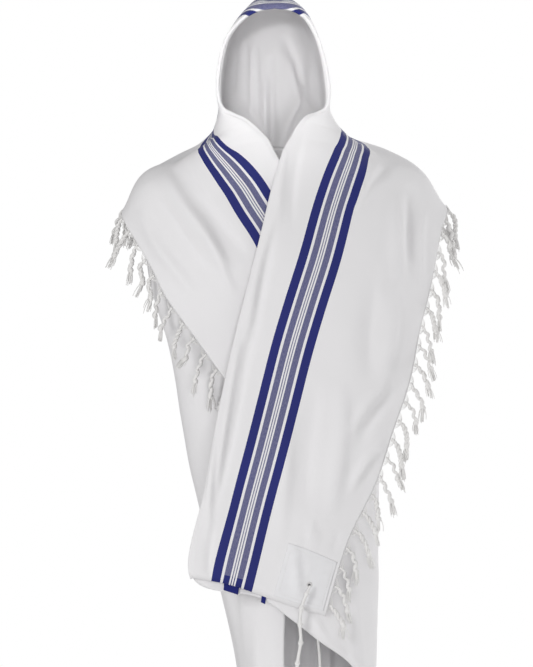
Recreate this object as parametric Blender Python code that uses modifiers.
"""A tallit, a striped and fringed prayer shawl, in the pose it takes when it is worn over the head.

The shawl is one woven sheet. A wide end of it is folded outward along a line beside the striped band. That fold
is the rim of the hood, then the neckline, then the front edges, with the right front crossed over the left. The
folded-out end, the flap, lies on the hood, the shoulders and the fronts with its fringed edge outward. The rest
of the sheet hangs inside and below it as a cape, down to the second fringed edge.

Lengths in the tables are millimetres. The origin is on the crown of the head, the front faces -Y, +X is the right
hand of someone looking at the front, and +Z is up.
"""

import math

import bmesh
import bpy
import numpy as np
from mathutils import Vector
from mathutils.bvhtree import BVHTree

MM = 0.001
CLOTH = 1.6  # thickness of one layer of cloth
PATCH_CLOTH = 1.0  # thickness of a corner patch
LAYER_GAP = 2.6  # from the middle of one layer to the middle of the next one out
SEAM = 1.1  # gap between two pieces that meet at an angle
ROLL = 3.6  # how far the fold's nose stands out past the cape's edge
FRINGE_REACH = 66.0
FRINGE_THICK = 2.4
FRINGE_START = 1.2  # gap from the cloth's edge to the fringe
TZITZIT_THICK = 5.0
TZITZIT_POINTS = 20  # along each tassel of the corners
CLEAR = 5.5  # from the middle of the cape to the middle of the flap over it, which has fewer facets

# Sections of the cape, from the rim's top down. A section runs from the right front edge (rx, ry, rz) round the
# right side (srx, sy, srz), the back (bx, by, bz) and the left side (slx, sy, slz) to the left front edge.
# The edges are the fold down to section 19, then the sheet's two side hems.
CAPE_COLUMNS = ("rx", "ry", "rz", "srx", "sy", "srz", "bx", "by", "bz", "slx", "slz", "lx", "ly", "lz")
CAPE = (
    (-1, -91, 1, -1, -91, 1, -1, -90.8, 1, -1, 1, -1, -91, 1),
    (24, -91, -3, 22, -62, 8, -2, -42, 16, -25, 7, -26, -91, -4),
    (46, -90, -18, 42, -40, -6, -2, 6, 17, -46, -10, -50, -90, -20),
    (62, -88, -48, 58, -10, -38, -2, 58, -2, -66, -40, -71, -88, -48),
    (73, -86, -87, 68, 10, -82, -1, 97, -48, -75, -82, -81, -86, -87),
    (78, -84, -123, 72, 20, -124, 0, 115, -105, -78, -124, -83, -84, -123),
    (74, -85, -148, 77, 22, -158, 0, 115, -160, -80, -158, -77, -85, -148),
    (60, -94, -160, 98, 18, -190, 0, 111, -202, -92, -192, -60, -94, -161),
    (45, -104, -167, 128, 10, -217, 0, 112, -236, -112, -227, -43, -103, -170),
    (34, -112, -181, 164, 4, -230, 0, 114, -270, -152, -242, -28, -109, -183),
    (25, -119, -198, 194, 0, -255, 0, 116, -304, -180, -262, -13, -113, -199),
    (14, -126, -218, 210, -4, -296, 0, 118, -340, -191, -306, -4, -115, -216),
    (-2, -132, -272, 214, -6, -345, 0, 120, -380, -196, -345, 10, -117, -240),
    (-20, -135, -348, 207, -6, -395, 0, 121, -425, -192, -395, 27, -117, -268),
    (-38, -136, -418, 198, -4, -445, 0, 121, -470, -180, -445, 46, -116, -306),
    (-56, -136, -490, 186, -2, -500, 2, 120, -518, -163, -500, 64, -114, -350),
    (-72, -136, -560, 175, 0, -560, 5, 118, -570, -151, -560, 74, -108, -410),
    (-88, -136, -640, 166, 2, -625, 9, 115, -628, -140, -625, 78, -103, -500),
    (-103, -136, -725, 159, 4, -700, 14, 114, -700, -126, -700, 80, -100, -590),
    (-123, -134, -853, 157, 6, -800, 22, 116, -785, -102, -800, 76, -98, -690),
    (-25, -135, -882, 157, 8, -866, 32, 118, -870, -84, -866, 46, -98, -790),
    (24, -134, -915, 156, 10, -920, 40, 120, -940, -68, -935, 20, -101, -870),
    (66, -128, -948, 154, 14, -970, 46, 121, -1010, -55, -1000, 14, -101, -940),
    (114, -108, -985, 152, 20, -1030, 50, 122, -1075, -50, -1070, 14, -101, -1010),
    (140, -72, -1040, 152, 30, -1095, 50, 123, -1135, -50, -1135, 14, -102, -1090),
    (150, -36, -1130, 152, 42, -1165, 50, 124, -1190, -52, -1200, 14, -103, -1170),
    (151, -12, -1240, 151, 54, -1240, 50, 125, -1245, -54, -1260, 14, -104, -1260),
    (149, 6, -1350, 150, 62, -1320, 50, 126, -1300, -56, -1320, 14, -105, -1350),
)
NECK = 7  # the section where the hood ends and the cape begins
FOLD_END = 19  # the section where the fold reaches the side hems
# Exponent of the sections' rounded corners, where 2 is an ellipse and more is squarer. In front it changes from
# section to section, because the cloth slopes from the chest to the shoulders.
BACK_SQUARENESS = 2.5
FRONT_SQUARENESS = ((0, 2.5), (6, 2.4), (7, 2.1), (8.5, 1.65), (10, 1.7), (11.5, 2.0), (13, 2.4), (27, 2.5))

# Stations of the flap, one for each of the cape's sections 0 to 19: the middle of the striped band, the middle of
# the plain stretch outside it, and the fringed edge. Each station starts at the fold.
FLAP_COLUMNS = ("band_x", "band_y", "band_z", "mid_x", "mid_y", "mid_z", "edge_x", "edge_y", "edge_z")
FLAP_RIGHT = (
    (-2, -22, 22, 0, 62, 2, 0, 126, -80),
    (21, -22, 12, 22, 66, -8, 16, 128, -96),
    (42, -14, -10, 42, 68, -36, 28, 130, -126),
    (60, -8, -50, 60, 70, -84, 40, 130, -178),
    (71, -4, -98, 73, 68, -134, 56, 131, -226),
    (76, -6, -138, 86, 64, -176, 78, 130, -262),
    (84, -10, -166, 104, 58, -198, 106, 126, -278),
    (100, -22, -184, 130, 48, -205, 138, 116, -284),
    (110, -40, -194, 158, 30, -209, 172, 96, -286),
    (114, -60, -202, 187, 8, -219, 205, 66, -290),
    (112, -82, -216, 212, -22, -234, 246, 28, -291),
    (104, -104, -242, 209, -56, -253, 261, -14, -301),
    (87, -130, -304, 178, -106, -320, 249, -56, -340),
    (68, -138, -375, 155, -126, -396, 233, -80, -423),
    (47, -141, -441, 135, -134, -462, 217, -96, -484),
    (26, -142, -511, 117, -138, -534, 202, -108, -560),
    (6, -142, -590, 95, -140, -612, 176, -116, -636),
    (-14, -142, -668, 72, -141, -690, 150, -122, -714),
    (-36, -142, -750, 45, -142, -772, 108, -128, -800),
    (-64, -141, -864, 10, -141, -890, 75, -134, -910),
)
FLAP_LEFT = (
    (-2, -22, 22, 0, 62, 2, 0, 126, -80),
    (-24, -22, 11, -22, 66, -8, -16, 128, -96),
    (-46, -14, -12, -44, 68, -38, -28, 130, -126),
    (-67, -8, -52, -62, 70, -84, -40, 130, -178),
    (-77, -4, -98, -76, 68, -134, -56, 131, -226),
    (-81, -6, -140, -88, 64, -178, -78, 130, -262),
    (-86, -10, -168, -104, 58, -200, -106, 126, -280),
    (-95, -20, -190, -124, 48, -211, -136, 116, -290),
    (-91, -34, -203, -151, 26, -220, -168, 96, -298),
    (-85, -62, -216, -179, 2, -233, -206, 62, -294),
    (-76, -90, -230, -193, -30, -244, -228, 20, -296),
    (-62, -110, -250, -183, -69, -270, -231, -18, -313),
    (-46, -121, -272, -146, -99, -313, -208, -50, -352),
    (-30, -123, -298, -116, -112, -348, -186, -72, -390),
    (-8, -123, -332, -85, -118, -388, -165, -86, -432),
    (12, -122, -374, -60, -121, -430, -132, -98, -478),
    (35, -120, -430, -30, -120, -475, -100, -104, -522),
    (45, -113, -510, -5, -117, -545, -62, -110, -578),
    (50, -109, -600, 12, -112, -630, -30, -109, -655),
    (54, -105, -700, 36, -107, -735, 18, -107, -765),
)
WEST, EAST = (-1, 1)
PATCH_LIFT = CLOTH / 2 + SEAM + PATCH_CLOTH / 2

# Way that the fringe hangs from the flap's edge at each station: how far it swings out sideways and forward for
# each unit that it drops.
FRINGE_SWING = ((0, 0.1, 0.15), (6, 0.1, 0.25), (11, 0.3, -0.1), (15, 0.3, -0.08), (19, 0.45, -0.1))

# The square patch sewn on each of the sheet's corners, as a first and last row and a first and last turn or
# across of the surface that it lies on.
FLAP_PATCHES = {"right": (18.30, 18.95, 3.80, 4.92), "left": (18.30, 18.95, 3.00, 4.90)}
HEM_PATCHES = {"right": (26.30, 26.95, 0.06, 1.17), "left": (26.30, 26.95, 3.56, 3.96)}

# The route of the tassel of each corner, from its eyelet down.
TZITZIT = {
    "tzitzit_right_front": (
        (52, -147, -864), (42, -148, -888), (38, -147, -905), (37, -145, -925), (38, -144, -948),
        (33, -143, -981), (30, -143, -1030), (31, -143, -1080), (29, -143, -1130), (30, -143, -1206),
    ),
    "tzitzit_left_front": (
        (36, -114, -752), (46, -112, -790), (58, -105, -860), (63, -103, -930), (67, -103, -980),
        (67, -104, -1040), (66, -104, -1098),
    ),
    "tzitzit_right_hem": (
        (157, 46, -1308), (158, 48, -1340), (157, 50, -1395), (156, 50, -1465), (157, 51, -1530), (156, 51, -1600),
    ),
    "tzitzit_left_hem": (
        (-19, -104, -1310), (-20, -105, -1345), (-21, -105, -1400), (-20, -104, -1465), (-21, -105, -1530),
        (-20, -105, -1600),
    ),
}

WHITE = (0.80, 0.79, 0.80)


# ---------------------------------------------------------------- surfaces

def column(table, names, name):
    """One named column of a table."""
    return np.array([row[names.index(name)] for row in table], float)


def smooth(values, at):
    """Reads a column between its rows: a Catmull-Rom spline through the rows, which keeps a straight run straight."""
    at = np.clip(np.asarray(at, float), 0, len(values) - 1)
    i = np.minimum(at.astype(int), len(values) - 2)
    t = at - i
    ahead = 2 * values[-1] - values[-2]
    behind = 2 * values[0] - values[1]
    padded = np.concatenate([[behind], values, [ahead]])
    p0, p1, p2, p3 = (padded[i + k] for k in range(4))
    return p1 + 0.5 * t * (p2 - p0 + t * (2 * p0 - 5 * p1 + 4 * p2 - p3 + t * (3 * (p1 - p2) + p3 - p0)))


def cape_points(rows, turns):
    """Points of the cape, shape (rows, turns, 3).

    A row is a place in the table of sections. A turn goes from 0 at the right front edge through 1 at the right
    side, 2 at the back and 3 at the left side to 4 at the left front edge. Each quarter is a superellipse.
    """
    c = {name: smooth(column(CAPE, CAPE_COLUMNS, name), rows)[:, None] for name in CAPE_COLUMNS}
    turns = np.asarray(turns, float)[None, :]
    quarter = np.minimum(turns.astype(int), 3)
    angle = (turns - quarter) * math.pi / 2
    front = np.interp(rows, *np.array(FRONT_SQUARENESS).T)[:, None]
    power = 2 / np.where(quarter % 3 == 0, front, BACK_SQUARENESS)
    away = np.sin(angle).clip(0) ** power
    along = np.cos(angle).clip(0) ** power
    blend = (1 - np.cos(2 * angle)) / 2
    corners = (
        (c["rx"], c["ry"], c["rz"]),
        (c["srx"], c["sy"], c["srz"]),
        (c["bx"], c["by"], c["bz"]),
        (c["slx"], c["sy"], c["slz"]),
        (c["lx"], c["ly"], c["lz"]),
    )
    x, y, z = (np.zeros((len(rows), turns.shape[1])) for _ in range(3))
    for q in range(4):
        (x0, y0, z0), (x1, y1, z1) = corners[q], corners[q + 1]
        here = quarter == q
        if q % 2 == 0:  # from the front or the back to a side: x runs out first
            qx, qy = x0 + (x1 - x0) * away, y1 + (y0 - y1) * along
        else:  # from a side to the back or the front: y runs out first
            qx, qy = x1 + (x0 - x1) * along, y0 + (y1 - y0) * away
        qz = z0 + (z1 - z0) * blend
        x, y, z = np.where(here, qx, x), np.where(here, qy, y), np.where(here, qz, z)
    return np.stack([x, y, z], axis=2)


def pleated(points, rows, turns):
    """The cape with the large hanging folds of its back and sides, which grow from the shoulders down."""
    rows, turns = np.asarray(rows, float)[:, None], np.asarray(turns, float)[None, :]
    grown = np.clip((rows - 10) / 14, 0, 1) ** 1.3
    window = np.clip((turns - 0.9) / 0.4, 0, 1) * np.clip((3.0 - turns) / 0.4, 0, 1)
    wave = np.sin(turns * 11.0 + 0.25 * np.sin(rows * 0.5)) + 0.35 * np.sin(turns * 5.3 + 1.0)
    depth = 8.0 * grown * window * wave
    middle = points.mean(axis=1, keepdims=True)
    outward = (points - middle) * (1, 1, 0)
    outward /= np.maximum(np.linalg.norm(outward, axis=2, keepdims=True), 1)
    return points + outward * depth[..., None]


def cape(rows, turns):
    return pleated(cape_points(rows, turns), rows, turns)


def unit(vectors):
    return vectors / np.maximum(np.linalg.norm(vectors, axis=-1, keepdims=True), 1e-6)


def edge_frame(rows, side):
    """The cape's front edge at some rows: its points, the way out past the edge, and the cloth's outward normal."""
    edge_turn, step = (0.0, 0.25) if side == EAST else (4.0, -0.25)
    edge, inside = (cape(rows, [turn])[:, 0] for turn in (edge_turn, edge_turn + step))
    above, below = (cape(np.asarray(rows) + shift, [edge_turn])[:, 0] for shift in (-0.05, 0.05))
    down = unit(below - above)
    out = edge - inside
    out = unit(out - down * (out * down).sum(1, keepdims=True))
    normal = np.cross(out, down) * side
    return edge, out, normal


def flap_points(table, side, rows, across):
    """Points of the flap on one side, shape (rows, across, 3).

    across goes from 0 at the cape's edge, round the fold's nose at 1, to 2 in front of the cape's edge, and then
    out to the band's middle at 3, the plain stretch's middle at 4 and the fringed edge at 5.
    """
    edge, out, normal = edge_frame(rows, side)
    roll = np.array([edge + SEAM * out, edge + ROLL * out + LAYER_GAP * normal, edge + 2 * LAYER_GAP * normal])
    places = [
        np.stack([smooth(column(table, FLAP_COLUMNS, f"{place}_{axis}"), rows) for axis in "xyz"], axis=1)
        for place in ("band", "mid", "edge")
    ]
    panel = np.array([roll[2], *places])
    across = np.asarray(across, float)
    turned = np.minimum(across, 2)
    spread = np.maximum(across - 2, 0)
    points = []
    for r in range(len(rows)):
        rolled = np.stack([np.interp(turned, (0, 1, 2), roll[:, r, k]) for k in range(3)], axis=1)
        flat = np.stack([smooth(panel[:, r, k], spread) for k in range(3)], axis=1)
        points.append(np.where((across > 2)[:, None], flat, rolled))
    return np.array(points)


def surface_tree(grids):
    """A search tree of some grids, whose faces point away from the wearer."""
    points, faces = [], []
    for grid in grids:
        start, (rows, columns) = len(points), grid.shape[:2]
        points += [Vector(p) for p in grid.reshape(-1, 3)]
        for i in range(rows - 1):
            for j in range(columns - 1):
                a = start + i * columns + j
                faces.append((a, a + columns, a + columns + 1, a + 1))
    return BVHTree.FromPolygons(points, faces)


def outside(grid, tree, gap, reach=45.0):
    """Moves the points that lie under a surface, or nearer than gap to it, out to gap from it.

    A surface whose faces point to the wearer takes a gap below 0.
    """
    moved = grid.copy().reshape(-1, 3)
    for i, p in enumerate(moved):
        place, normal, _, far = tree.find_nearest(Vector(p))
        if place is None or far > reach:
            continue
        depth = (Vector(p) - place).dot(normal)
        if depth * np.sign(gap) < abs(gap):
            moved[i] = np.array(place + normal * gap)
    return moved.reshape(grid.shape)


def settled(grid, tree, gap):
    """Lays a grid over a surface: its points, and then the middles of its faces, are moved out to gap from it."""
    grid = outside(grid, tree, gap)
    rows, columns = grid.shape[:2]
    for _ in range(5):
        faces = [grid[i:rows - 1 + i, j:columns - 1 + j] for i in (0, 1) for j in (0, 1)]
        middles = sum(faces) / 4
        push = 0.6 * (outside(middles, tree, gap) - middles)
        for corner in faces:
            corner += push
    return grid


def lifted(grid, distance):
    """A grid moved out from itself along its own normals."""
    down, round_it = np.gradient(grid, axis=0), np.gradient(grid, axis=1)
    return grid + distance * unit(np.cross(down, round_it))


def fringe_points(edge, out, swing, drops):
    """The reach of a fringe: it leaves the cloth's edge along the cloth and bends down to where it hangs."""
    hang = unit(swing) * FRINGE_REACH
    start = edge + FRINGE_START * out
    along = FRINGE_REACH * 0.25 * out
    return np.stack([start + 2 * d * (1 - d) * along + d * d * hang for d in drops], axis=1)


# ---------------------------------------------------------------- objects

def reset():
    for old in list(bpy.data.objects):
        bpy.data.objects.remove(old)
    collection = bpy.data.collections.new("tallit prayer shawl")
    bpy.context.scene.collection.children.link(collection)
    return collection


def material(name, colour, roughness):
    made = bpy.data.materials.new(name)
    made.use_nodes = True
    shader = made.node_tree.nodes["Principled BSDF"]
    shader.inputs["Base Color"].default_value = (*colour, 1)
    shader.inputs["Roughness"].default_value = roughness
    shader.inputs["Metallic"].default_value = 0
    made.diffuse_color = (*colour, 1)
    return made


def grid_object(name, grid, thickness, collection, colour=WHITE, flip=False):
    """A sheet of cloth on a grid of points, given its thickness by Solidify."""
    rows, columns = grid.shape[:2]
    mesh = bmesh.new()
    made = [mesh.verts.new(p * MM) for p in grid.reshape(-1, 3)]
    for i in range(rows - 1):
        for j in range(columns - 1):
            a = i * columns + j
            corners = (a, a + columns, a + columns + 1, a + 1)
            mesh.faces.new([made[k] for k in (reversed(corners) if flip else corners)])
    bmesh.ops.remove_doubles(mesh, verts=mesh.verts, dist=0.02 * MM)
    data = bpy.data.meshes.new(name)
    mesh.to_mesh(data)
    mesh.free()
    data.shade_smooth()
    data.materials.append(material(name, colour, 0.9))
    made = bpy.data.objects.new(name, data)
    collection.objects.link(made)
    shell = made.modifiers.new("cloth", "SOLIDIFY")
    shell.thickness = thickness * MM
    shell.offset = 0
    return made


def between(first, last, count):
    return np.linspace(first, last, count)


# The rows of points of the hood, and of what hangs below it as far as the fold goes: the cape's edge and the flap
# round it take the same rows, so that they stay side by side.
HOOD_ROWS = between(0, NECK - 0.05, 14)
FOLD_ROWS = between(NECK + 0.05, FOLD_END, 22)
LEFT_CUTS = (11, 21)  # which of the cape's rows divide its left front: below the shoulder, and where the fold ends


def divided(rows, cuts, gap):
    """Rows cut into runs at some of them, each of which ends a little short of its cut."""
    ends = [0, *cuts, len(rows) - 1]
    runs = [rows[first : last + 1].copy() for first, last in zip(ends, ends[1:])]
    for above, below in zip(runs, runs[1:]):
        above[-1] -= gap
        below[0] += gap
    return runs


def cape_pieces(collection):
    """The hood's inner layer and the hanging stretches of the cape. The left front is in three, one above the other."""
    side_gap = 0.003
    rows = np.concatenate([FOLD_ROWS, between(FOLD_END, len(CAPE) - 1, 9)[1:]])
    left_turns = between(3 + side_gap, 4, 8)
    shoulder, front, skirt = divided(rows, LEFT_CUTS, 0.008)
    patches = {
        "hood": (HOOD_ROWS, between(0, 4, 25)),
        "cape_right_front": (rows, between(0, 1 - side_gap, 8)),
        "cape_back": (rows, between(1 + side_gap, 3 - side_gap, 19)),
        "cape_left_shoulder": (shoulder, left_turns),
        "cape_left_front": (front, left_turns),
        "cape_left_skirt": (skirt, left_turns),
    }
    grids = {name: cape(rows, turns) for name, (rows, turns) in patches.items()}
    for name, grid in grids.items():
        grid_object(name, grid, CLOTH, collection)
    return grids


def flap_side(table, side, word, tree, collection):
    """The folded-out flap on one side: the stretch over the hood, and the one over the shoulder and down the front."""
    across = np.concatenate([between(0, 2, 5), between(2.3, 5, 10)])
    first = 0.03 if side == EAST else 0.09
    for name, rows in (
        (f"flap_hood_{word}", np.concatenate([[first], HOOD_ROWS[1:]])),
        (f"flap_{word}", FOLD_ROWS),
    ):
        grid = flap_points(table, side, rows, across)
        grid[:, 4:] = settled(grid[:, 4:], tree, CLEAR)
        grid_object(name, grid, CLOTH, collection, flip=side == WEST)
        out = unit(grid[:, -1] - grid[:, -2])
        columns = np.array(FRINGE_SWING).T
        sideways, forward = (np.interp(rows, columns[0], columns[k]) for k in (1, 2))
        swing = np.stack([side * sideways, forward, -np.ones(len(rows))], axis=1)
        fringe = fringe_points(grid[:, -1], out, swing, between(0, 1, 4))
        fringe[:, 1:] = outside(fringe[:, 1:], tree, CLEAR)
        grid_object(name.replace("flap", "fringe"), fringe, FRINGE_THICK, collection, flip=side == WEST)
    own = surface_tree([grid])
    top, bottom, inner, outer = FLAP_PATCHES[word]
    base = outside(flap_points(table, side, between(top, bottom, 4), between(inner, outer, 4)), tree, CLEAR)
    patch = outside(lifted(base, side * PATCH_LIFT), own, side * PATCH_LIFT)
    grid_object(f"patch_{word}_front", patch, PATCH_CLOTH, collection, flip=side == WEST)


def hem_pieces(collection, tree):
    """The second fringed edge, along the bottom of the cape, and the patches on its two corners."""
    last, turns = len(CAPE) - 1, between(0, 4, 41)
    edge, above = cape([last], turns)[0], cape([last - 0.1], turns)[0]
    straight_down = np.tile((0.0, 0.0, -1.0), (len(edge), 1))
    fringe = fringe_points(edge, unit(edge - above), straight_down, between(0, 1, 3))
    grid_object("fringe_hem", fringe.transpose(1, 0, 2), FRINGE_THICK, collection)
    for word, (top, bottom, first, last) in HEM_PATCHES.items():
        patch = lifted(cape(between(top, bottom, 4), between(first, last, 7)), PATCH_LIFT)
        patch = outside(patch, tree, PATCH_LIFT)
        grid_object(f"patch_{word}_hem", patch, PATCH_CLOTH, collection)


def tzitzit(name, route, collection):
    """The tassel that hangs from a corner's eyelet, as the tube round its windings, knots and strands."""
    route = np.array(route, float)
    steps = np.linalg.norm(np.diff(route, axis=0), axis=1)
    along = np.concatenate([[0], np.cumsum(steps)])
    at = np.interp(between(0, along[-1], TZITZIT_POINTS), along, np.arange(len(route)))
    points = np.stack([smooth(route[:, k], at) for k in range(3)], axis=1) * MM
    curve = bpy.data.curves.new(name, "CURVE")
    curve.dimensions = "3D"
    curve.bevel_depth = TZITZIT_THICK * MM / 2
    curve.bevel_resolution = 2
    curve.use_fill_caps = True
    spline = curve.splines.new("POLY")
    spline.points.add(len(points) - 1)
    for point, place in zip(spline.points, points):
        point.co = (*place, 1)
    curve.materials.append(material(name, WHITE, 0.9))
    collection.objects.link(bpy.data.objects.new(name, curve))


def main():
    collection = reset()
    grids = cape_pieces(collection)
    everything = surface_tree(grids.values())
    under_left = surface_tree([grid for name, grid in grids.items() if name != "cape_right_front"])
    flap_side(FLAP_RIGHT, EAST, "right", everything, collection)
    flap_side(FLAP_LEFT, WEST, "left", under_left, collection)
    hem_pieces(collection, everything)
    for name, route in TZITZIT.items():
        tzitzit(name, route, collection)


main()
